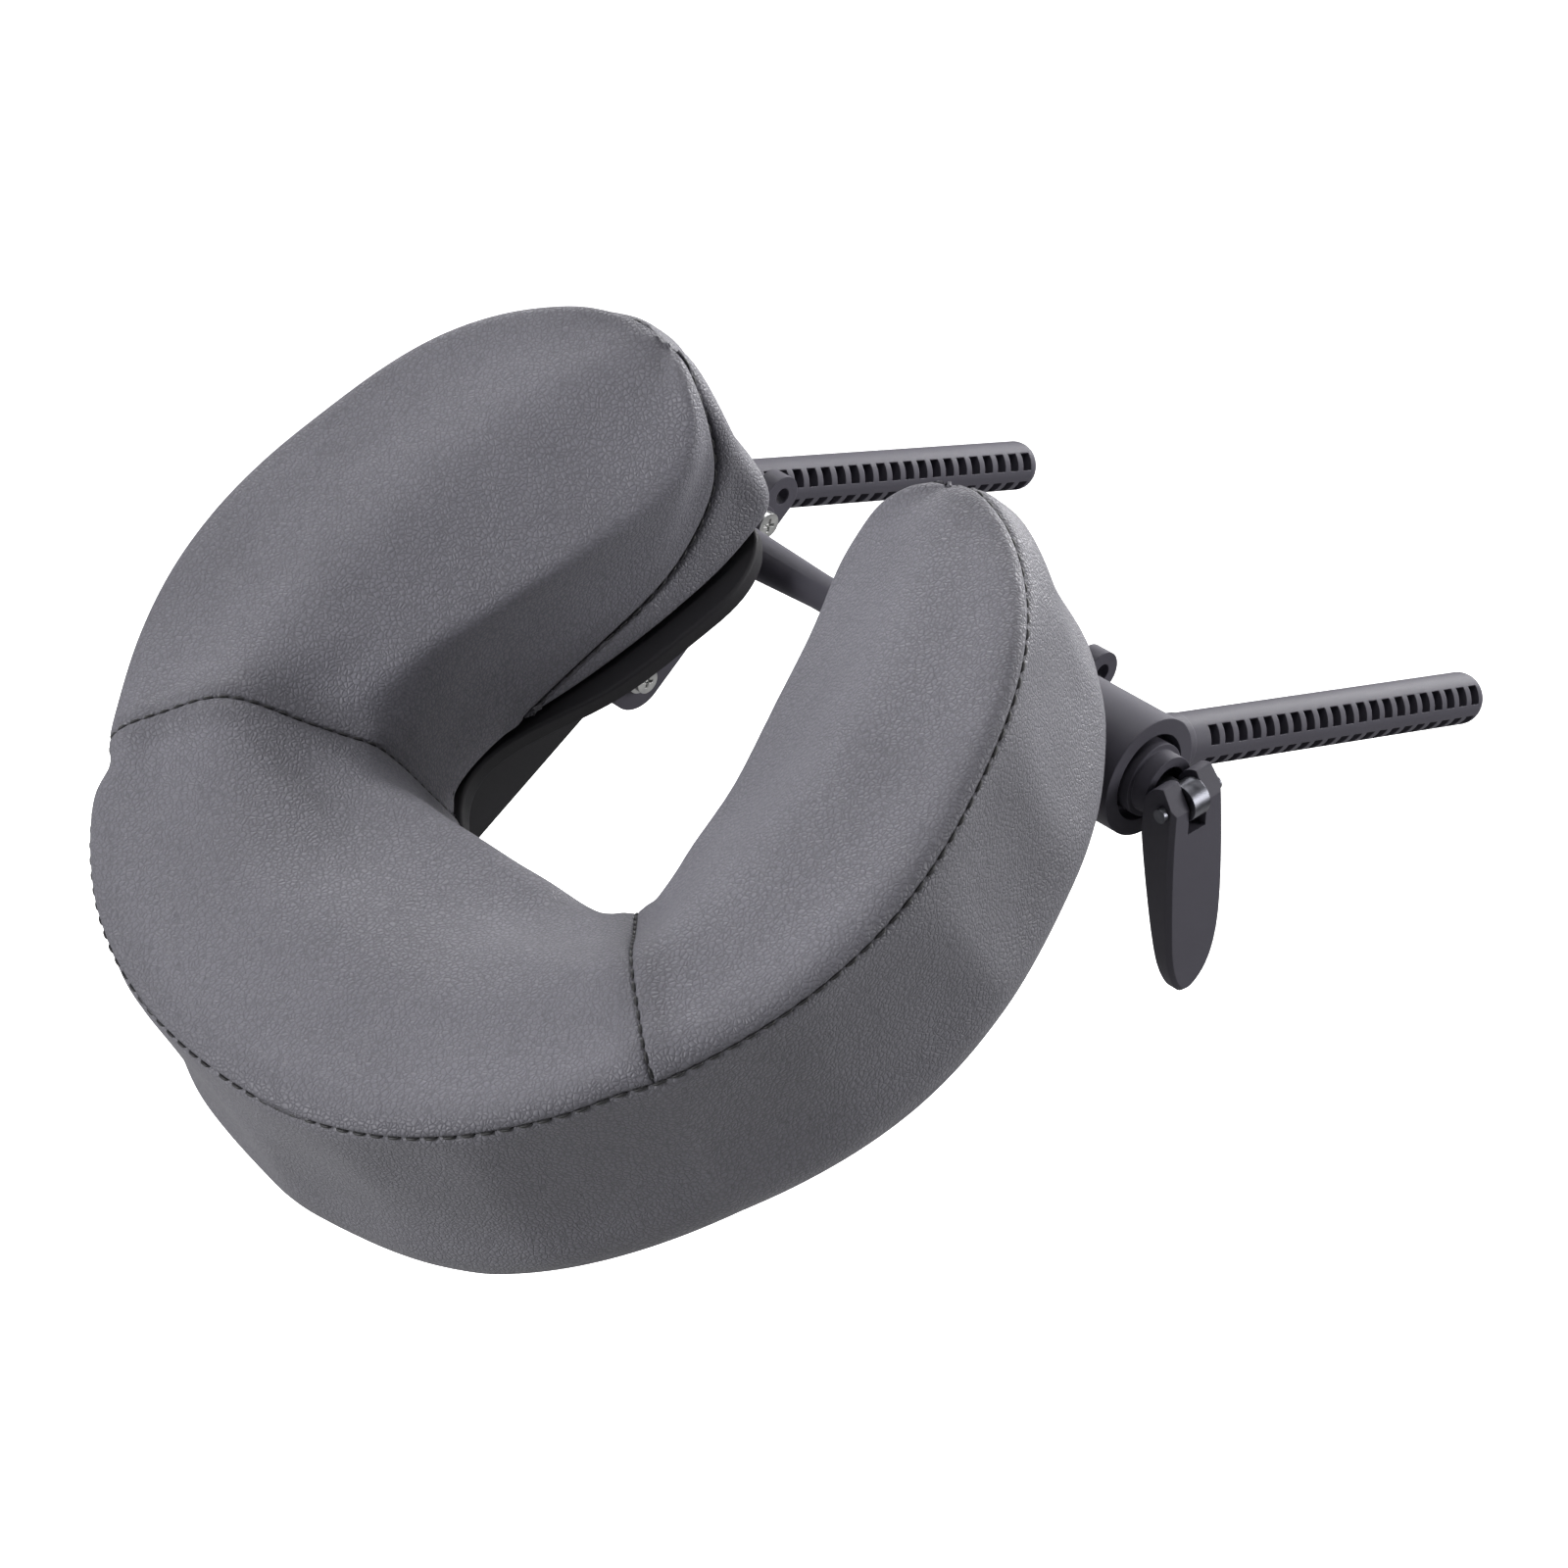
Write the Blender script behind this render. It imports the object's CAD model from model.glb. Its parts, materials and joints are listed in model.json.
import json
import math

import bpy
import bmesh
import numpy as np
from mathutils import Matrix, Vector, kdtree


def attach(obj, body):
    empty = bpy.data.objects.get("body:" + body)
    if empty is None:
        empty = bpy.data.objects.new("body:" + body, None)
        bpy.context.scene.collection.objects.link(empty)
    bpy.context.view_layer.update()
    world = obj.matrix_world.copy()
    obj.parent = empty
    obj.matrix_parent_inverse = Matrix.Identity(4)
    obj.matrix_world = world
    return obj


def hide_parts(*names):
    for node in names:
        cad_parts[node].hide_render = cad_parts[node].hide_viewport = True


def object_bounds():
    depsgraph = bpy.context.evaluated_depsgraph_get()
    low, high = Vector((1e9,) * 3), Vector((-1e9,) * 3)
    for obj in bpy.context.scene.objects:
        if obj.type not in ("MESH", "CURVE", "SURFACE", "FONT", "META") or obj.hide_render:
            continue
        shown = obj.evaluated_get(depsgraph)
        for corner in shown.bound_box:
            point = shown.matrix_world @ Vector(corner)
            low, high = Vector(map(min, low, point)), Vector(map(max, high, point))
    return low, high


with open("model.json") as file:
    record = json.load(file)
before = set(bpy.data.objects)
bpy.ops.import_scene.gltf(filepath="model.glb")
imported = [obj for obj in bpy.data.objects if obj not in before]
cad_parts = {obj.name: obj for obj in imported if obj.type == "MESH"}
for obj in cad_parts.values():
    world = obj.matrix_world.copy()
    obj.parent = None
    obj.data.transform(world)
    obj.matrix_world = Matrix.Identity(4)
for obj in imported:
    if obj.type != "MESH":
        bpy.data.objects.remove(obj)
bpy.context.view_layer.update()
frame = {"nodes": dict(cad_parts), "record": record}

# Looks of an adjustable face cradle. Cushion sizes are millimetres in the cushion's own level
# frame: across (towards the lever), reach (towards the head end) and height. Everything is
# placed in metres in the row frame. The right half of the cushion is drawn and mirrored, and the
# sewing then makes the two halves a little different.

MM = 0.001
BODY = "headrest"


# ---- Cushion frame, read from the CAD base panel ------------------------------------------------

def cushion_axes():
    """Across, headward and upward directions of the pitched cushion, from its flat base panel."""
    widest = max(frame["nodes"]["cover_base_panel"].data.polygons, key=lambda face: face.area)
    upward = widest.normal.copy()
    if upward.z < 0:
        upward.negate()
    upward.x = 0
    upward.normalize()
    across = Vector((1, 0, 0))
    return np.array([across, across.cross(upward), upward])


AXES = cushion_axes()


def to_row(points):
    """Cushion millimetres to row-frame metres."""
    return np.asarray(points, float) @ AXES * MM


# ---- Cushion design ------------------------------------------------------------------------------

FLOOR = 28.2        # underside of the cushion
SEAM = 108.7        # height of the outer top seam
CROWN = 113.0       # height of the padded crown
BROW = 84.0         # height where the top turns down into the face opening
EDGE_ROUND = 1.6    # how far the bottom edges turn in
SKIN = 1.3          # thickness of the leather
HEAD_STEP, LOBE_STEP = 4.2, 4.0 # mesh spacing along the cushion, up to the cross seam and after it
TOP_STEP, WALL_STEP = 3.9, 5.0  # mesh spacing across the top and down a wall
FINE_STEPS = [0.8, 1.92, 3.6]   # where the mesh rows beside a seam stand, measured from the seam
SHORTEST_STEP = 0.5             # the least length that counts between two knots of a curve

# One row per station, from the head end to the lobe tip:
# outer seam, crown, brow and inner foot as (across, reach, height).
STATIONS = [
    [(0, 271, SEAM), (0, 213, CROWN), (0, 156, 83), (0, 151, FLOOR)],
    [(70, 255.5, SEAM), (52, 207, CROWN), (31, 156, 81), (34, 150, FLOOR)],
    [(129.8, 198.6, SEAM), (97.8, 170.2, CROWN), (63, 148.5, 76), (60, 143, FLOOR)],
    [(156, 141, SEAM), (107, 135, CROWN), (66.5, 127, BROW), (68, 127, FLOOR)],
    [(159, 103, SEAM), (104, 102, CROWN), (62.5, 101, BROW), (65, 103, FLOOR)],
    [(151, 62, SEAM), (96, 64, CROWN), (52, 66, 83), (53, 68, FLOOR)],
    [(137, 27, SEAM), (85, 31, 112.5), (43, 34, 83), (45, 36, FLOOR)],
    [(125, 10.5, 107.6), (79, 14, 112), (38.5, 18, 85), (42.5, 20, FLOOR)],
    [(111, -2.5, 106.6), (74, 2, 111.2), (39, 6, 90), (42, 8, FLOOR)],
    [(97, -11.5, 106), (71, -6.5, 110), (42.5, -2, 95), (42, -1.5, FLOOR)],
    [(83, -16.5, 105), (69, -13.5, 107.6), (49.5, -9, 98.5), (46, -9.5, FLOOR)],
    [(67, -19, 103.5), (67, -19, 103.5), (67, -19, 103.5), (66, -16, FLOOR)],
]
FLARES = [7.5, 8, 2.5, 2, 1, 1.5, 2, 2, 2, 3, 3, 0]   # how much wider the band is at its bottom
PUFFS = [0, 0, 0, 0, 0, 0, 0, 0, 0.6, 2, 3.2, 0]        # how much fuller it is just below the seam
CROSS_SEAM = 2      # the station that the cross seam runs along
SEAM_FOOT = 4       # the station where the inner part of the outer seam reaches the bottom edge
TIP = len(STATIONS) - 1

# The padded top between seam and crown: share of the way across, and height above the straight line.
TOP_RISES = ((0.06, 3.8), (0.17, 6.2), (0.5, 4.6))
SLOPE_SHARE, SLOPE_RISE = 0.52, 2.6     # the same between crown and brow
INNER_SHARE, INNER_FULL = 0.42, 1.5     # the inner wall: share of the way down, and how far it bulges
# From seam to crown, the padding is full at the second width and fades out to nearly none at the first.
FLAT_WIDTH, FULL_WIDTH, LEAST_FADE = 8, 50, 0.05

# The side wall, from the seam down: share of the height, fullness, and share of the extra fullness.
WALL_PROFILE = ((0, 0, 0), (0.12, 1.6, 0.8), (0.4, 2.8, 1), (0.72, 2.8, 0.5), (0.93, 1.6, 0.2),
                (1, -EDGE_ROUND, 0))
FULL_HEIGHT = 60        # a wall lower than this is less full

# The inner end of a cross seam, where the leather bunches up into a bump between two dips, each given
# as an offset, a radius and a height along the bump's lean.
BUNCH = np.array([62.0, 147.0, 80.0])
BUMPS = (((0, 0, 0), 8, 2.2), ((-15, 6, 1), 9, -3.0), ((4, -13, 2), 8, -1.2))
BUMP_LEAN = (-0.45, -0.2, 0.87)

# The two halves aren't sewn quite alike: side, headward slide of the cross seam's outer end, depth of
# the pinch beside it, and rise of the lobe tip.
HALVES = ((1, -2.5, 1.0, 2.2), (-1, 6.5, 3.4, -1.0))
HEADWARD = (-0.71, 0.71, 0)
SLIDE_RADIUS = 26
PINCH_INWARD = (-0.83, -0.56, 0)
PINCH_OFFSET = 12
PINCH_RADII = (9, 9, 16)
TIP_LEAN = (0, -0.7, 1.0)
TIP_RISE_RADIUS = 30
TIP_DIP, TIP_DIP_RADIUS = 2.0, 9

# A fuller place in the left side of the head end: centre, radii and how far it moves.
CHEEK, CHEEK_RADII, CHEEK_MOVE = (-96, 232, 80), (50, 50, 60), (-1.32, 1.76, 0)

# Where the outer seam goes after the tip: down the lobe's inner wall to its bottom edge, by station.
INNER_SEAM = {10: (48.8, -9.5, 90), 9: (45.6, -3, 72), 8: (45.2, 5, 57), 7: (45.6, 17, 48),
              6: (47.2, 35, 41), 5: (54.2, 67, 35.5), SEAM_FOOT: (65, 103, FLOOR)}


def spline(knots, values, places):
    """Natural cubic spline through values at rising knots, read at the given places."""
    knots = np.asarray(knots, float)
    values = np.asarray(values, float)
    gaps = np.diff(knots)
    count = len(knots)
    system = np.eye(count)
    right = np.zeros_like(values)
    for i in range(1, count - 1):
        system[i, i - 1:i + 2] = gaps[i - 1], 2 * (gaps[i - 1] + gaps[i]), gaps[i]
        right[i] = 6 * ((values[i + 1] - values[i]) / gaps[i] - (values[i] - values[i - 1]) / gaps[i - 1])
    bend = np.linalg.solve(system, right)
    cell = np.clip(np.searchsorted(knots, places, side="right") - 1, 0, count - 2)
    gap = gaps[cell][:, None]
    left = (knots[cell + 1] - places)[:, None] / gap
    here = 1 - left
    curve = left * values[cell] + here * values[cell + 1]
    return curve + ((left ** 3 - left) * bend[cell] + (here ** 3 - here) * bend[cell + 1]) * gap ** 2 / 6


def arc_knots(points):
    """Running length along a row of points."""
    steps = np.linalg.norm(np.diff(np.asarray(points, float), axis=0), axis=1)
    return np.concatenate([[0], np.cumsum(np.maximum(steps, SHORTEST_STEP))])


def graded(length, step, ends=(True, True)):
    """Places from 0 to length, step apart, closing up to fine spacing at the chosen ends."""
    start = FINE_STEPS if ends[0] else []
    stop = [length - place for place in reversed(FINE_STEPS)] if ends[1] else []
    first = start[-1] if start else 0
    last = stop[0] if stop else length
    count = max(1, round((last - first) / step))
    middle = list(np.linspace(first, last, count + 1))
    head = [0] + start[:-1] if start else []
    tail = stop[1:] + [length] if stop else []
    return np.array(head + middle + tail)


def mirror(points):
    """The same points on the other half."""
    return np.asarray(points, float) * np.array([-1, 1, 1])


STATION_KNOTS = arc_knots([station[0] for station in STATIONS])


def column_places():
    """Where the mesh columns stand between the head end and the tip, close together at the cross seam."""
    cross = STATION_KNOTS[CROSS_SEAM]
    first = graded(cross, HEAD_STEP, (False, True))
    second = graded(STATION_KNOTS[TIP] - cross, LOBE_STEP, (True, False))[1:] + cross
    return np.concatenate([first, second]), len(first) - 1


COLUMNS, CROSS_COLUMN = column_places()


def station_rows():
    """The guiding curves at every column, each smooth from tip to tip."""
    full_knots = np.concatenate([-STATION_KNOTS[:0:-1], STATION_KNOTS])
    rows = []
    for item in range(len(STATIONS[0])):
        half = np.array([station[item] for station in STATIONS], float)
        full = np.concatenate([mirror(half[:0:-1]), half])
        rows.append(spline(full_knots, full, COLUMNS))
    return rows


def seam_loop_rows(outer, foot):
    """Redraw outer as one smooth seam round the tip. Return its way down the inner wall, from first on."""
    back = [INNER_SEAM[index] for index in range(TIP - 1, SEAM_FOOT - 1, -1)]
    loop = [station[0] for station in STATIONS] + back
    knots = arc_knots(loop)
    full_knots = np.concatenate([-knots[:0:-1], knots])
    full = np.concatenate([mirror(loop[:0:-1]), loop])
    outer[:] = spline(full_knots, full, COLUMNS)
    outset = STATION_KNOTS[SEAM_FOOT]
    first = int(np.searchsorted(COLUMNS, outset))
    share = (COLUMNS[first:] - outset) / (STATION_KNOTS[TIP] - outset)
    partner_share = (STATION_KNOTS[SEAM_FOOT:] - outset) / (STATION_KNOTS[TIP] - outset)
    inner_knots = knots[2 * TIP - SEAM_FOOT:TIP - 1:-1]
    along = spline(partner_share, inner_knots[:, None], share)[:, 0]
    along[-1] = knots[TIP]
    inner = foot.copy()
    inner[first + 1:] = spline(full_knots, full, along[1:])
    return inner, first


def bottom_row(outer, foot):
    """The outer bottom edge: straight below the outer seam, and at the tip's foot."""
    below = outer.copy()
    below[:, 2] = FLOOR
    below[-1] = foot[-1]
    return below


def top_section(seam, crown, brow, end, shares):
    """The padded top from the outer seam over the crown and the brow down the inner wall."""
    lift = np.array([0, 0, 1.0])
    width = np.linalg.norm(crown - seam)
    fade = min(1.0, max(LEAST_FADE, (width - FLAT_WIDTH) / (FULL_WIDTH - FLAT_WIDTH)))
    padded = [seam + (crown - seam) * share + lift * rise * fade for share, rise in TOP_RISES]
    slope = crown + (brow - crown) * SLOPE_SHARE + lift * SLOPE_RISE * fade
    wall = brow + (end - brow) * INNER_SHARE
    inward = np.array([brow[0] - crown[0], brow[1] - crown[1], 0])
    reach = np.linalg.norm(inward)
    if reach > 1e-6:
        wall = wall + inward / reach * INNER_FULL * fade
    points = np.array([seam, *padded, crown, slope, brow, wall, end])
    knots = arc_knots(points)
    return spline(knots, points, shares * knots[-1])


def wall_section(top, bottom, outward, shares, flare=0.0, puff=0.0):
    """A side wall from a seam down to the bottom edge, slightly full, turned in at the bottom."""
    height = top[2] - bottom[2]
    fade = min(1.0, height / FULL_HEIGHT)
    points = np.array([top + (bottom - top) * drop + outward * (full * fade + flare * drop + puff * extra)
                       for drop, full, extra in WALL_PROFILE])
    points[:, 2] = np.maximum(points[:, 2], FLOOR)
    knots = arc_knots(points)
    return spline(knots, points, shares * knots[-1])


def outward_normals(row):
    """Level unit vectors to the left of a row of points, which is outwards for the outer seam."""
    tangent = np.gradient(row, axis=0)
    normal = np.stack([-tangent[:, 1], tangent[:, 0], np.zeros(len(row))], axis=1)
    lengths = np.maximum(np.linalg.norm(normal, axis=1), 1e-9)
    return normal / lengths[:, None]


# Where the mesh rows stand across the top, down a wall and across the base, as shares of the way.
TOP_LENGTH, WALL_LENGTH = 190, 80
TOP_SHARES = graded(TOP_LENGTH, TOP_STEP) / TOP_LENGTH
WALL_SHARES = graded(WALL_LENGTH, WALL_STEP) / WALL_LENGTH
BASE_SHARES = np.linspace(0, 1, 12)

PANEL_NAMES = ["cover_head_panel", "cover_right_lobe", "cover_left_lobe", "cover_side_band",
               "cover_base_panel"]
HEAD, RIGHT, LEFT, BAND, BASE = range(len(PANEL_NAMES))
WELD = 0.02         # points nearer than this are one vertex


class Shell:
    """Vertices and faces of the cover, welded where patches meet."""

    def __init__(self):
        self.points = []
        self.faces = []
        self.panels = []
        self.found = {}

    def vertex(self, point):
        """The number of the vertex at a point, added if it is new."""
        key = tuple(np.round(point / WELD).astype(int))
        if key not in self.found:
            self.found[key] = len(self.points)
            self.points.append(point)
        return self.found[key]

    def patch(self, grid, panel_of, flip):
        """Quads over a grid of points [column][row]; panel_of gives a column's panel."""
        index = [[self.vertex(point) for point in column] for column in grid]
        for i in range(len(index) - 1):
            for j in range(len(index[i]) - 1):
                loop = [index[i][j], index[i + 1][j], index[i + 1][j + 1], index[i][j + 1]]
                loop = [v for k, v in enumerate(loop) if v not in loop[:k]]
                if len(loop) < 3:
                    continue
                self.faces.append(loop[::-1] if flip else loop)
                self.panels.append(panel_of(i))


def build_shell():
    """The whole cover as one closed mesh in cushion millimetres, with its seam lines."""
    outer, crown, brow, foot = station_rows()
    inner, first = seam_loop_rows(outer, foot)
    below = bottom_row(outer, foot)
    out_normals = outward_normals(outer)
    foot_normals = -outward_normals(foot)
    out_normals[0] = (0, 1, 0)
    out_normals[-1] = (0, -1, 0)
    foot_normals[-1] = (0, -1, 0)
    inner[-1] = outer[-1]
    count = len(COLUMNS)
    top = [top_section(outer[i], crown[i], brow[i], inner[i], TOP_SHARES) for i in range(count)]
    flares = np.interp(COLUMNS, STATION_KNOTS, FLARES)
    puffs = np.interp(COLUMNS, STATION_KNOTS, PUFFS)
    wall = [wall_section(outer[i], below[i], out_normals[i], WALL_SHARES, flares[i], puffs[i])
            for i in range(count)]
    wedge = [wall_section(inner[i], foot[i], foot_normals[i], WALL_SHARES) for i in range(first, count)]
    base = []
    for i in range(count):
        start = wall[i][-1]
        stop = wedge[i - first][-1] if i >= first else top[i][-1]
        base.append([start + (stop - start) * share for share in BASE_SHARES])
    shell = Shell()
    for side in (1, -1):
        def half(grid):
            return [np.asarray(column) * np.array([side, 1, 1]) for column in grid]
        lobe = RIGHT if side > 0 else LEFT
        shell.patch(half(top), lambda i: HEAD if i < CROSS_COLUMN else lobe, side > 0)
        shell.patch(half(wall), lambda i: BAND, side < 0)
        shell.patch(half(wedge), lambda i: BAND, side > 0)
        shell.patch(half(base), lambda i: BASE, side < 0)
    seam_line = [outer[i] for i in range(count)] + [inner[i] for i in range(count - 2, first - 1, -1)]
    cross_line = list(top[CROSS_COLUMN])
    return shell, np.array(seam_line), np.array(cross_line)


# ---- Cloth and sewing ----------------------------------------------------------------------------

CLOTH_FRAMES = 20
CLOTH_EVENING = 14      # rounds of evening out where the cloth went
MOST_MOVE = 5 * MM      # the furthest that the cloth may carry the cover

# The cloth is held up to the first distance from a seam or from the floor, and free from the second.
SEAM_HOLD = (0.5, 3.5)
FLOOR_HOLD = (3, 8)

# Seams, as depth and width of the groove, and the roll of leather beside them, as height, distance
# from the seam and width.
OUTER_GROOVE = (1.3, 1.0)
CROSS_GROOVE = (0.9, 0.8)
ROLL = (0.45, 4.5, 2.6)
TIP_RADIUS = 7          # the part of a lobe tip that is worked smooth
TIP_EVENING = 40        # rounds of evening out there


def link(name, mesh):
    """A new object in the scene."""
    piece = bpy.data.objects.new(name, mesh)
    bpy.context.scene.collection.objects.link(piece)
    return piece


def nearest_distances(points, line):
    """Distance from each point to a line of points, with the line filled in between them."""
    steps = np.linspace(0, 1, 6, endpoint=False)[:, None]
    dense = np.concatenate([a + (b - a) * steps for a, b in zip(line[:-1], line[1:])] + [line[-1:]])
    tree = kdtree.KDTree(len(dense))
    for index, point in enumerate(dense):
        tree.insert(point, index)
    tree.balance()
    return np.array([tree.find(point)[2] for point in points])


def both_halves(line):
    """The line and its mirror image."""
    return [np.asarray(line), mirror(line)]


def tip_distances(points):
    """How far points are from the top or the bottom of the nearer lobe tip."""
    tips = [tip for end in (STATIONS[TIP][0], STATIONS[TIP][-1]) for tip in both_halves(end)]
    return np.min([np.linalg.norm(points - tip, axis=-1) for tip in tips], axis=0)


def relaxed(mesh, values, rounds):
    """Even out values given per vertex, along the mesh's edges."""
    edges = np.empty(len(mesh.edges) * 2, int)
    mesh.edges.foreach_get("vertices", edges)
    first, second = edges.reshape(-1, 2).T
    near = np.maximum(np.bincount(np.concatenate([first, second]), minlength=len(values)), 1)[:, None]
    for _ in range(rounds):
        total = np.zeros_like(values)
        np.add.at(total, first, values[second])
        np.add.at(total, second, values[first])
        values = 0.5 * values + 0.5 * total / near
    return values


def fading(distance, held, free):
    """1 up to the held distance, falling evenly to 0 at the free one."""
    return np.clip((free - distance) / (free - held), 0, 1)


def swell(piece, holds):
    """Pressure the cover outwards as cloth, held along its seams, and keep where it settles."""
    group = piece.vertex_groups.new(name="holds")
    for index, weight in enumerate(holds):
        if weight > 0:
            group.add([index], float(weight), "REPLACE")
    modifier = piece.modifiers.new("Cloth", "CLOTH")
    settings = modifier.settings
    settings.quality = 5
    settings.mass = 0.3
    settings.use_pressure = True
    settings.uniform_pressure_force = 4
    settings.tension_stiffness = 12
    settings.compression_stiffness = 8
    settings.shear_stiffness = 6
    settings.bending_stiffness = 0.6
    settings.shrink_min = -0.012
    settings.vertex_group_mass = "holds"
    settings.effector_weights.gravity = 0
    modifier.collision_settings.use_collision = False
    modifier.point_cache.frame_start = 1
    modifier.point_cache.frame_end = CLOTH_FRAMES
    start = np.array([vertex.co for vertex in piece.data.vertices])
    for number in range(1, CLOTH_FRAMES + 1):
        bpy.context.scene.frame_set(number)
    shape = piece.evaluated_get(bpy.context.evaluated_depsgraph_get())
    settled = np.array([vertex.co for vertex in shape.data.vertices])
    piece.modifiers.remove(modifier)
    bpy.context.scene.frame_set(1)
    move = relaxed(piece.data, settled - start, CLOTH_EVENING)
    length = np.maximum(np.linalg.norm(move, axis=1), 1e-12)[:, None]
    kept = MOST_MOVE * np.tanh(length / MOST_MOVE) / length
    piece.data.vertices.foreach_set("co", (start + move * kept).ravel())
    piece.data.update()


def apply_modifier(piece, kind, **settings):
    """Add one modifier and apply it."""
    modifier = piece.modifiers.new(kind.title(), kind)
    for name, value in settings.items():
        setattr(modifier, name, value)
    bpy.context.view_layer.objects.active = piece
    with bpy.context.temp_override(object=piece, active_object=piece, selected_objects=[piece]):
        bpy.ops.object.modifier_apply(modifier=modifier.name)


def build_cover():
    """The sewn cover as one mesh: simulated, creased at its seams and drawn in along them."""
    shell, seam_line, cross_line = build_shell()
    mesh = bpy.data.meshes.new("cover")
    mesh.from_pydata([Vector(point) for point in to_row(shell.points)], [], shell.faces)
    panel = mesh.attributes.new("panel", "INT", "FACE")
    panel.data.foreach_set("value", shell.panels)
    mesh.update()
    cover = link("cover", mesh)
    points = np.array(shell.points)
    seams = [line for half in (seam_line, cross_line) for line in both_halves(half)]
    seam_distance = np.min([nearest_distances(points, line) for line in seams], axis=0)
    holds = np.maximum(fading(seam_distance, *SEAM_HOLD), fading(points[:, 2] - FLOOR, *FLOOR_HOLD))
    swell(cover, holds)
    mark_creases(cover)
    apply_modifier(cover, "SUBSURF", levels=1, render_levels=1, use_limit_surface=False)
    sew(cover, seam_line, cross_line)
    return cover, seam_line, cross_line


def mark_creases(piece):
    """Keep the edges between panels sharp when the mesh is subdivided."""
    form = bmesh.new()
    form.from_mesh(piece.data)
    bmesh.ops.recalc_face_normals(form, faces=form.faces)
    panel = form.faces.layers.int["panel"]
    crease = form.edges.layers.float.new("crease_edge")
    for edge in form.edges:
        sides = [face[panel] for face in edge.link_faces]
        if len(sides) == 2 and sides[0] != sides[1]:
            edge[crease] = 1.0
    form.to_mesh(piece.data)
    form.free()


def bell(points, centre, radii):
    """1 at the centre, falling smoothly to 0 beyond the radii."""
    return np.exp(-np.sum(((points - centre) / np.asarray(radii)) ** 2, axis=1))[:, None]


def shape_changes(points, seam_line):
    """Where the sewing slides, pulls in, lifts and bunches the cover at the cross seams and the tips."""
    total = bell(points, CHEEK, CHEEK_RADII) * CHEEK_MOVE
    for side, slide, pinch, lift in HALVES:
        flip = np.array([side, 1, 1])
        corner = seam_line[CROSS_COLUMN] * flip
        headward = np.array(HEADWARD) * flip
        total += bell(points, corner, SLIDE_RADIUS) * headward * slide
        total += bell(points, corner + headward * PINCH_OFFSET, PINCH_RADII) * PINCH_INWARD * flip * pinch
        tip = STATIONS[TIP][0] * flip
        rise = lift * bell(points, tip, TIP_RISE_RADIUS) - TIP_DIP * bell(points, tip, TIP_DIP_RADIUS)
        total += rise * TIP_LEAN
        for offset, radius, height in BUMPS:
            total += bell(points, (BUNCH + offset) * flip, radius) * BUMP_LEAN * flip * height
    return total


def groove(distance, depth, width):
    """How the surface moves at a distance from a seam that draws it in."""
    return -depth * np.exp(-(distance / width) ** 2)


def sew(piece, seam_line, cross_line):
    """Draw the leather in along the seams and let it stand up slightly beside them."""
    mesh = piece.data
    count = len(mesh.vertices)
    points = np.empty(count * 3)
    mesh.vertices.foreach_get("co", points)
    points = points.reshape(-1, 3)
    normals = np.array([vertex.normal for vertex in mesh.vertices])
    local = points @ AXES.T / MM
    outer = np.min([nearest_distances(local, line) for line in both_halves(seam_line)], axis=0)
    cross = np.min([nearest_distances(local, line) for line in both_halves(cross_line)], axis=0)
    away = np.minimum(outer, cross)
    drawn_in = np.minimum(groove(outer, *OUTER_GROOVE), groove(cross, *CROSS_GROOVE))
    height, distance, width = ROLL
    roll = height * np.exp(-((away - distance) / width) ** 2)
    tips = np.exp(-(tip_distances(local) / TIP_RADIUS) ** 2)
    shaped = points + normals * ((drawn_in * (1 - tips) + roll) * MM)[:, None]
    shaped += shape_changes(local, seam_line) @ AXES * MM
    shaped += (relaxed(mesh, shaped, TIP_EVENING) - shaped) * tips[:, None]
    mesh.vertices.foreach_set("co", shaped.ravel())
    worn = mesh.attributes.new("seam_distance", "FLOAT", "POINT")
    worn.data.foreach_set("value", away)
    mesh.update()


def cut_panels(cover):
    """One leather piece for each sewn panel, with the leather's own thickness."""
    pieces = {}
    for number, name in enumerate(PANEL_NAMES):
        form = bmesh.new()
        form.from_mesh(cover.data)
        panel = form.faces.layers.int["panel"]
        others = [face for face in form.faces if face[panel] != number]
        bmesh.ops.delete(form, geom=others, context="FACES")
        for face in form.faces:
            face.smooth = True
        mesh = bpy.data.meshes.new(name + "_leather")
        form.to_mesh(mesh)
        form.free()
        piece = link(name + "_leather", mesh)
        apply_modifier(piece, "SOLIDIFY", thickness=SKIN * MM, offset=-1)
        pieces[name] = piece
    bpy.data.objects.remove(cover)
    return pieces


# ---- Stitching -----------------------------------------------------------------------------------

STITCH_SINK = 0.45      # how deep a stitch lies in the leather
STITCH_SAG = 0.7        # how much deeper its ends go
TIP_CLEARANCE = 8       # no stitch is nearer than this to a lobe tip
THREAD_SIDES, THREAD_RINGS = 8, 7
STITCH_MARGIN = 1.5     # how far a run of stitches starts from the end of its line
OUTER_STITCH = (6.2, 4.7, 0.52)     # pitch, length and radius
CROSS_STITCH = (5.2, 4.0, 0.5)
NORMAL_REACH = 5        # the surface direction at a stitch is the mean of this much round it
AHEAD = 0.4             # a seam's direction is taken between points this far ahead and behind


def even_places(line, pitch):
    """Points and directions spaced by pitch along a line."""
    knots = arc_knots(line)
    count = int((knots[-1] - 2 * STITCH_MARGIN) / pitch)
    places = STITCH_MARGIN + pitch * (np.arange(count) + 0.5)
    here = spline(knots, line, places)
    ahead = spline(knots, line, places + AHEAD) - spline(knots, line, places - AHEAD)
    return here, ahead / np.linalg.norm(ahead, axis=1)[:, None]


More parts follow.
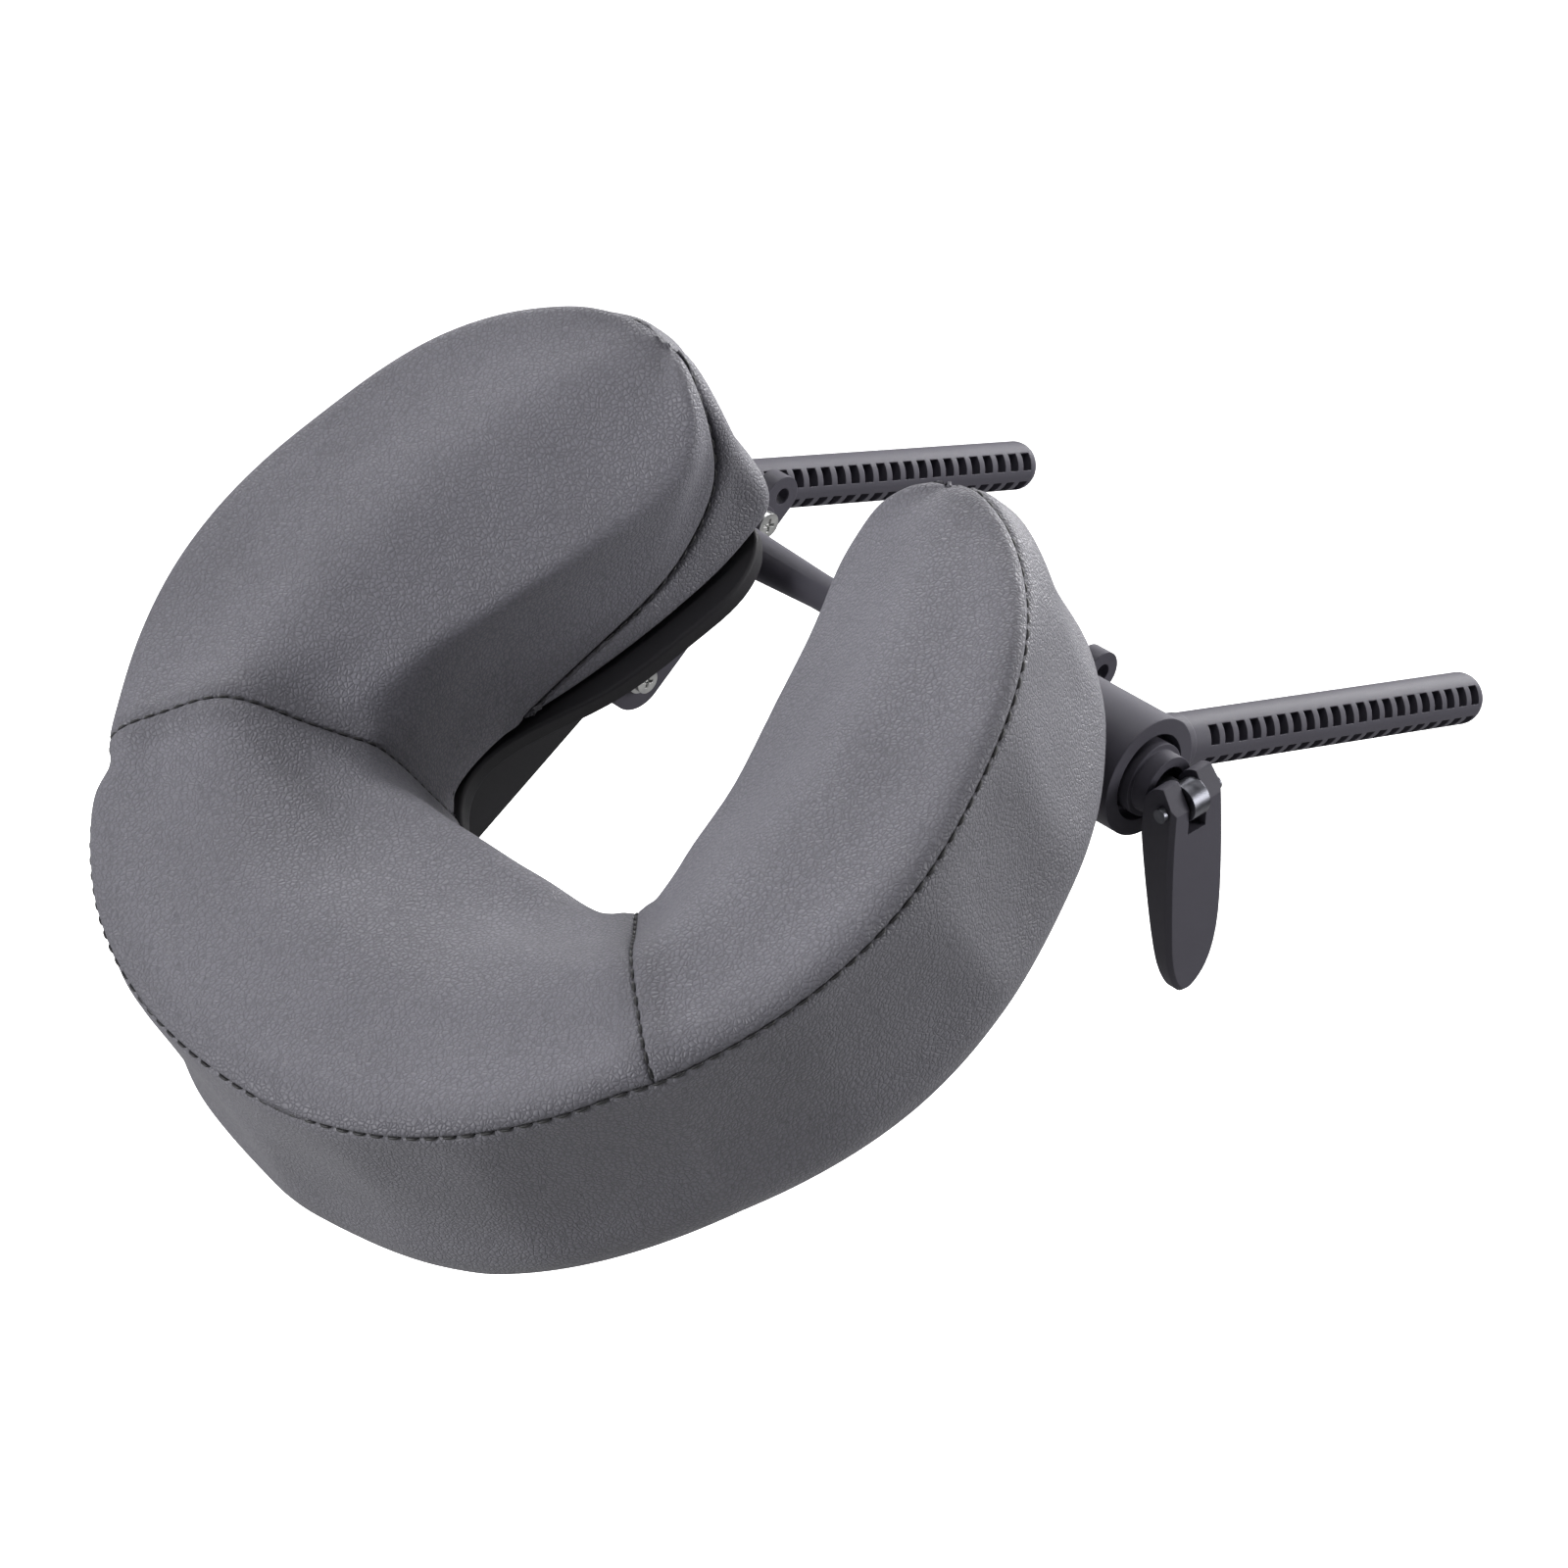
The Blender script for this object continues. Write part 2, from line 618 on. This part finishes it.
def add_thread(form, centre, along, up, length, radius):
    """One tapered thread bar that dips into the leather at both ends."""
    side = np.cross(along, up)
    rings = []
    for share in np.linspace(-1, 1, THREAD_RINGS):
        girth = radius * math.sqrt(max(0.0, 1 - abs(share) ** 3) + 0.05)
        middle = centre + along * (share * length / 2) - up * (STITCH_SAG * share ** 4)
        ring = []
        for turn in np.linspace(0, 2 * math.pi, THREAD_SIDES, endpoint=False):
            spoke = side * math.cos(turn) + up * math.sin(turn)
            ring.append(form.verts.new(to_row(middle + spoke * girth)))
        rings.append(ring)
    for first, second in zip(rings[:-1], rings[1:]):
        for k in range(THREAD_SIDES):
            after = (k + 1) % THREAD_SIDES
            form.faces.new((first[k], first[after], second[after], second[k]))
    form.faces.new(rings[0][::-1])
    form.faces.new(rings[-1])


def stitch_line(name, lines, surface_normal, pitch, length, radius):
    """A run of thread along seam lines."""
    form = bmesh.new()
    for line in lines:
        here, along = even_places(line, pitch)
        for centre, direction in zip(here, along):
            if tip_distances(centre) < TIP_CLEARANCE:
                continue
            up = surface_normal(centre)
            up = up - direction * (up @ direction)
            up = up / np.linalg.norm(up)
            add_thread(form, centre - up * STITCH_SINK, direction, up, length, radius)
    bmesh.ops.recalc_face_normals(form, faces=form.faces)
    for face in form.faces:
        face.smooth = True
    mesh = bpy.data.meshes.new(name)
    form.to_mesh(mesh)
    form.free()
    return link(name, mesh)


# ---- Materials -----------------------------------------------------------------------------------

def tint(red, green, blue):
    """A screen colour of 0 to 255 as linear light."""
    def linear(value):
        value = value / 255
        return value / 12.92 if value <= 0.04045 else ((value + 0.055) / 1.055) ** 2.4
    return (linear(red), linear(green), linear(blue), 1)


class Finish:
    """A node material, built node by node."""

    def __init__(self, name):
        self.material = bpy.data.materials.new(name)
        self.material.use_nodes = True
        self.nodes = self.material.node_tree.nodes
        self.nodes.clear()
        self.surface = self.add("BsdfPrincipled")
        output = self.add("OutputMaterial")
        self.join(self.surface, output, "Surface")
        self.place = self.add("TexCoord").outputs["Object"]

    def add(self, kind, inputs=(), **settings):
        node = self.nodes.new("ShaderNode" + kind)
        for name, value in settings.items():
            setattr(node, name, value)
        for name, value in dict(inputs).items():
            if isinstance(value, bpy.types.NodeSocket):
                self.material.node_tree.links.new(value, node.inputs[name])
            else:
                node.inputs[name].default_value = value
        return node

    def join(self, source, target, name):
        socket = source if isinstance(source, bpy.types.NodeSocket) else source.outputs[0]
        self.material.node_tree.links.new(socket, target.inputs[name])

    def stretch(self, scale):
        """Object coordinates scaled by a vector, for grain longer one way than the other."""
        mapping = self.add("Mapping", {"Vector": self.place, "Scale": scale})
        return mapping.outputs["Vector"]

    def noise(self, scale, detail=3.0, roughness=0.55, vector=None):
        node = self.add("TexNoise", {"Vector": vector or self.place, "Scale": scale, "Detail": detail,
                                     "Roughness": roughness})
        return node.outputs["Fac"]

    def remap(self, value, low, high, to_low, to_high):
        node = self.add("MapRange", {"Value": value, "From Min": low, "From Max": high, "To Min": to_low,
                                     "To Max": to_high})
        return node.outputs["Result"]

    def maths(self, operation, first, second=0.0):
        node = self.add("Math", {0: first, 1: second}, operation=operation)
        return node.outputs["Value"]

    def mix(self, share, first, second):
        """A blend of two colours: the node's inputs 6 and 7, blended into its output 2."""
        node = self.add("Mix", {"Factor": share}, data_type="RGBA")
        for index, value in ((6, first), (7, second)):
            if isinstance(value, bpy.types.NodeSocket):
                self.material.node_tree.links.new(value, node.inputs[index])
            else:
                node.inputs[index].default_value = value
        return node.outputs[2]

    def bump(self, height, distance, strength=1.0, under=None):
        inputs = {"Height": height, "Distance": distance, "Strength": strength}
        if under is not None:
            inputs["Normal"] = under
        return self.add("Bump", inputs).outputs["Normal"]

    def rounded(self, radius):
        """The surface normal with sharp edges softened."""
        return self.add("Bevel", {"Radius": radius}, samples=6).outputs["Normal"]

    def set(self, **sockets):
        names = {"colour": "Base Color", "roughness": "Roughness", "metallic": "Metallic", "normal": "Normal",
                 "sheen": "Sheen Weight", "sheen_roughness": "Sheen Roughness",
                 "specular": "Specular IOR Level"}
        for key, value in sockets.items():
            socket = self.surface.inputs[names[key]]
            if isinstance(value, bpy.types.NodeSocket):
                self.material.node_tree.links.new(value, socket)
            else:
                socket.default_value = value
        return self.material


def leather(name, light, dark, rolled=1.0):
    """Pebbled coated fabric: small rounded cells parted by fine creases, darker along the seams."""
    finish = Finish(name)
    warp = finish.add("TexNoise", {"Vector": finish.place, "Scale": 260.0, "Detail": 2.0}).outputs["Color"]
    bent = finish.add("VectorMath", {0: warp, 1: (0.5, 0.5, 0.5)}, operation="SUBTRACT").outputs["Vector"]
    bent = finish.add("VectorMath", {0: bent, "Scale": 0.0016}, operation="SCALE").outputs["Vector"]
    bent = finish.add("VectorMath", {0: finish.place, 1: bent}, operation="ADD").outputs["Vector"]
    cells = finish.add("TexVoronoi", {"Vector": bent, "Scale": 620.0, "Randomness": 0.95},
                       feature="DISTANCE_TO_EDGE").outputs["Distance"]
    pebble = finish.remap(cells, 0.0, 0.32, 0.0, 1.0)
    pebble = finish.maths("POWER", pebble, 0.6)
    fine = finish.noise(1500.0, 2.0)
    crease = finish.noise(95.0, 4.0, 0.6, finish.stretch((1.0, 0.55, 1.0)))
    cloud = finish.noise(14.0, 3.0)
    height = finish.maths("ADD", pebble, finish.maths("MULTIPLY", fine, 0.35))
    height = finish.maths("ADD", height, finish.maths("MULTIPLY", crease, 1.1))
    normal = finish.bump(height, 0.00028, 0.85)
    seam = finish.add("Attribute", attribute_name="seam_distance", attribute_type="GEOMETRY").outputs["Fac"]
    shade = finish.remap(seam, 0.2, 0.8, 0.35, 1.0)
    shade = finish.maths("MULTIPLY", shade, finish.remap(seam, 2.0, 14.0, rolled, 1.0))
    tone = finish.maths("MULTIPLY", finish.remap(cloud, 0.3, 0.7, 0.72, 1.0),
                        finish.remap(pebble, 0.0, 0.7, 0.55, 1.0))
    colour = finish.mix(finish.maths("MULTIPLY", tone, shade), dark, light)
    rough = finish.remap(finish.maths("ADD", pebble, crease), 0.4, 1.5, 0.62, 0.46)
    return finish.set(colour=colour, roughness=rough, normal=normal, specular=0.5, sheen=0.06,
                      sheen_roughness=0.5)


def moulded(name, light, dark):
    """Moulded glass-filled nylon: a fine spark-eroded grain, faint flow marks and worn edges."""
    finish = Finish(name)
    fine = finish.noise(2600.0, 3.0, 0.7)
    flow = finish.noise(38.0, 4.0, 0.55, finish.stretch((1.0, 0.35, 1.0)))
    round_edges = finish.rounded(0.0006)
    normal = finish.bump(fine, 0.00006, 0.7, finish.bump(flow, 0.0004, 0.25, round_edges))
    tone = finish.maths("MULTIPLY", finish.remap(fine, 0.3, 0.7, 0.8, 1.0),
                        finish.remap(flow, 0.3, 0.7, 0.75, 1.0))
    edge_turn = finish.add("VectorMath", {0: round_edges, 1: finish.add("NewGeometry").outputs["Normal"]},
                           operation="DOT_PRODUCT").outputs["Value"]
    worn = finish.remap(edge_turn, 0.995, 0.9, 0.0, 0.5)
    colour = finish.mix(tone, dark, light)
    colour = finish.mix(worn, colour, tuple(1.6 * value for value in light[:3]) + (1,))
    rough = finish.remap(fine, 0.3, 0.7, 0.5, 0.7)
    return finish.set(colour=colour, roughness=rough, normal=normal, specular=0.3)


def plated(name, colour, dark, rough=0.26):
    """Plated or oiled steel: fine turning marks and a slightly cloudy film."""
    finish = Finish(name)
    cloud = finish.noise(160.0, 4.0, 0.6)
    turned = finish.noise(900.0, 2.0, 0.5, finish.stretch((1.0, 0.15, 0.15)))
    normal = finish.bump(turned, 0.00003, 0.6, finish.rounded(0.0003))
    return finish.set(colour=finish.mix(finish.remap(cloud, 0.3, 0.7, 0.0, 1.0), dark, colour), metallic=1.0,
                      roughness=finish.remap(cloud, 0.3, 0.7, rough, rough + 0.16), normal=normal)


def fibrous(name, light, dark, scale, depth):
    """Pressed or napped fibres: tangled short strands with a soft sheen."""
    finish = Finish(name)
    strands = finish.noise(scale, 5.0, 0.75, finish.stretch((1.0, 1.0, 0.5)))
    cross = finish.noise(scale * 1.7, 4.0, 0.7, finish.stretch((0.4, 1.0, 1.0)))
    tangle = finish.maths("MULTIPLY", strands, cross)
    normal = finish.bump(tangle, depth, 0.9)
    colour = finish.mix(finish.remap(tangle, 0.12, 0.4, 0.0, 1.0), dark, light)
    return finish.set(colour=colour, roughness=0.88, normal=normal, sheen=0.25, sheen_roughness=0.6)


def woven(name, light, dark, pitch):
    """Plain-woven backing cloth."""
    finish = Finish(name)
    spread = math.pi / pitch
    waves = []
    for axis in ("X", "Y"):
        split = finish.add("SeparateXYZ", {"Vector": finish.place}).outputs[axis]
        waves.append(finish.maths("ABSOLUTE", finish.maths("SINE", finish.maths("MULTIPLY", split, spread))))
    weave = finish.maths("MAXIMUM", waves[0], waves[1])
    fuzz = finish.noise(1800.0, 3.0)
    height = finish.maths("ADD", weave, finish.maths("MULTIPLY", fuzz, 0.6))
    colour = finish.mix(finish.remap(height, 0.6, 1.4, 0.0, 1.0), dark, light)
    return finish.set(colour=colour, roughness=0.85, normal=finish.bump(height, 0.00015, 0.8), sheen=0.15)


def twisted_thread(name, light, dark):
    """Polyester sewing thread with a visible twist."""
    finish = Finish(name)
    twist = finish.noise(1400.0, 2.0, 0.5, finish.stretch((1.0, 1.0, 0.3)))
    colour = finish.mix(finish.remap(twist, 0.35, 0.65, 0.0, 1.0), dark, light)
    return finish.set(colour=colour, roughness=0.5, normal=finish.bump(twist, 0.0001, 0.6), sheen=0.2)


# ---- Scene ---------------------------------------------------------------------------------------

LIT_POINT = (0, -0.03, -0.05)
SOFTBOXES = (
    ("left_softbox", (-1.5, 0.4, 1.3), 1.2, 21),
    ("top_softbox", (0.0, -0.5, 2.0), 1.3, 12),
    ("front_left_softbox", (-0.6, -2.2, -0.1), 1.4, 42),
    ("right_back_softbox", (1.7, 1.2, 0.9), 1.2, 32),
    ("back_softbox", (-0.3, 1.8, 1.2), 1.2, 48),
)
FLOOR_DROP, FLOOR_HALF = 0.40, 6        # how far the floor is below the cradle, and half its width
PLAIN_LIGHT, GLOSS_LIGHT = 0.03, 0.25   # strength of the white surround, and what glossy rays add to it

FLOOR_GLOW = 1.12       # makes the floor as white as the surround where the camera sees it

# The camera stands at the cradle's front right, looks down at it and leans over. Angles are degrees.
CAMERA_PLACE = (0.89, -1.1622, 0.483)
CAMERA_HEADING, CAMERA_ELEVATION, CAMERA_ROLL = 38.0, 20.56, 15.78
SENSOR, FOCAL_LENGTH = 36, 103.4


def assign(piece, material):
    """Give a piece one material."""
    piece.data.materials.clear()
    piece.data.materials.append(material)


def finish_nodes():
    """A procedural finish for every CAD piece that stays in view, by its record slot."""
    finishes = {
        "black_nylon": moulded("nylon_black", tint(84, 82, 92), tint(60, 58, 66)),
        "dark_steel": plated("oiled_steel", tint(120, 121, 128), tint(84, 84, 90), 0.3),
        "friction_fibre": fibrous("friction_fibre", tint(60, 58, 60), tint(30, 29, 31), 900.0, 0.0002),
        "zinc_steel": plated("zinc_plate", tint(214, 214, 212), tint(176, 177, 178)),
        "hook_tape": fibrous("hook_tape", tint(58, 58, 60), tint(18, 18, 19), 1100.0, 0.0006),
        "loop_tape": fibrous("loop_tape", tint(66, 65, 68), tint(24, 24, 26), 700.0, 0.0006),
        "foam": fibrous("foam_cells", tint(150, 148, 140), tint(90, 88, 82), 500.0, 0.0004),
    }
    for entry in frame["record"]["subparts"]:
        if entry["material_slot"] in finishes:
            assign(frame["nodes"][entry["node"]], finishes[entry["material_slot"]])
    assign(frame["nodes"]["platform"], moulded("platform_black", tint(38, 37, 41), tint(26, 25, 28)))


def dress_cushion():
    """The sewn leather cover and its thread, in place of the plain cushion."""
    cover, seam_line, cross_line = build_cover()
    above = leather("leather_top", tint(130, 129, 138), tint(68, 67, 73), 0.7)
    around = leather("leather_band", tint(124, 123, 131), tint(66, 65, 70))
    cloth = woven("backing_cloth", tint(54, 54, 58), tint(22, 22, 24), 0.0012)
    thread = twisted_thread("thread", tint(30, 29, 33), tint(14, 14, 16))
    surface_normal = normal_finder(cover)
    outer_lines, cross_lines = ([half + shape_changes(half, seam_line) for half in both_halves(line)]
                                for line in (seam_line, cross_line))
    outer_thread = stitch_line("thread_outer_seam", outer_lines, surface_normal, *OUTER_STITCH)
    cross_thread = stitch_line("thread_cross_seams", cross_lines, surface_normal, *CROSS_STITCH)
    pieces = cut_panels(cover)
    looks = {"cover_side_band": (around, "band_leather"), "cover_base_panel": (cloth, "base_cloth")}
    for name, piece in pieces.items():
        material, slot = looks.get(name, (above, "top_leather"))
        assign(piece, material)
        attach(piece, BODY)
        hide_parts(name)
    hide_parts("foam_core")
    for piece in (outer_thread, cross_thread):
        assign(piece, thread)
        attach(piece, BODY)


def normal_finder(piece):
    """A lookup of the cover's mean surface direction around a point given in cushion millimetres."""
    mesh = piece.data
    tree = kdtree.KDTree(len(mesh.vertices))
    for vertex in mesh.vertices:
        tree.insert(vertex.co, vertex.index)
    tree.balance()

    def look(point):
        near = tree.find_range(Vector(to_row(point)), NORMAL_REACH * MM)
        total = sum((mesh.vertices[index].normal for _, index, _ in near), Vector())
        return AXES @ np.array(total)
    return look


def area_light(name, place, size, power):
    """A round softbox aimed at the cradle."""
    lamp = bpy.data.lights.new(name, "AREA")
    lamp.shape = "DISK"
    lamp.size = size
    lamp.energy = power
    piece = link(name, lamp)
    piece.location = place
    piece.rotation_euler = (Vector(LIT_POINT) - Vector(place)).to_track_quat("-Z", "Y").to_euler()


def floor_paint():
    """White paint with a faint mottle. It looks bright but throws little light back up."""
    paint = Finish("floor_paint")
    mottle = paint.remap(paint.noise(6.0), 0.3, 0.7, 0.0, 1.0)
    seen = paint.add("LightPath").outputs["Is Camera Ray"]
    white = paint.mix(mottle, tint(240, 240, 240), tint(247, 247, 247))
    material = paint.set(colour=paint.mix(seen, tint(150, 150, 150), white), roughness=0.9)
    glow = paint.maths("MULTIPLY", seen, FLOOR_GLOW)
    paint.join(white, paint.surface, "Emission Color")
    paint.join(glow, paint.surface, "Emission Strength")
    return material


def light_surround():
    """A white studio behind the scene that adds only a little light of its own."""
    world = bpy.data.worlds.new("studio")
    bpy.context.scene.world = world
    world.use_nodes = True
    nodes = world.node_tree.nodes
    links = world.node_tree.links
    path = nodes.new("ShaderNodeLightPath")
    gleam = nodes.new("ShaderNodeMath")
    gleam.operation = "MULTIPLY_ADD"
    gleam.inputs[1].default_value = GLOSS_LIGHT
    gleam.inputs[2].default_value = PLAIN_LIGHT
    links.new(path.outputs["Is Glossy Ray"], gleam.inputs[0])
    total = nodes.new("ShaderNodeMath")
    total.operation = "ADD"
    links.new(path.outputs["Is Camera Ray"], total.inputs[0])
    links.new(gleam.outputs[0], total.inputs[1])
    nodes["Background"].inputs["Color"].default_value = (1, 1, 1, 1)
    links.new(total.outputs[0], nodes["Background"].inputs["Strength"])


def stand_stage():
    """Pale floor, soft studio light and the camera."""
    floor_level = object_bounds()[0][2] - FLOOR_DROP
    form = bmesh.new()
    bmesh.ops.create_grid(form, x_segments=2, y_segments=2, size=FLOOR_HALF)
    for vertex in form.verts:
        vertex.co.z = floor_level
    mesh = bpy.data.meshes.new("floor")
    form.to_mesh(mesh)
    form.free()
    floor = link("floor", mesh)
    assign(floor, floor_paint())
    for softbox in SOFTBOXES:
        area_light(*softbox)
    light_surround()
    lens = bpy.data.cameras.new("camera")
    lens.sensor_width = SENSOR
    lens.lens = FOCAL_LENGTH
    camera = link("camera", lens)
    heading, pitch, roll = (Matrix.Rotation(math.radians(angle), 4, axis) for angle, axis in (
        (CAMERA_HEADING, "Z"), (90 - CAMERA_ELEVATION, "X"), (CAMERA_ROLL, "Z")))
    camera.matrix_world = Matrix.Translation(CAMERA_PLACE) @ heading @ pitch @ roll
    bpy.context.scene.camera = camera


finish_nodes()
dress_cushion()
stand_stage()
bpy.context.scene.view_settings.view_transform = "Standard"
bpy.context.view_layer.update()
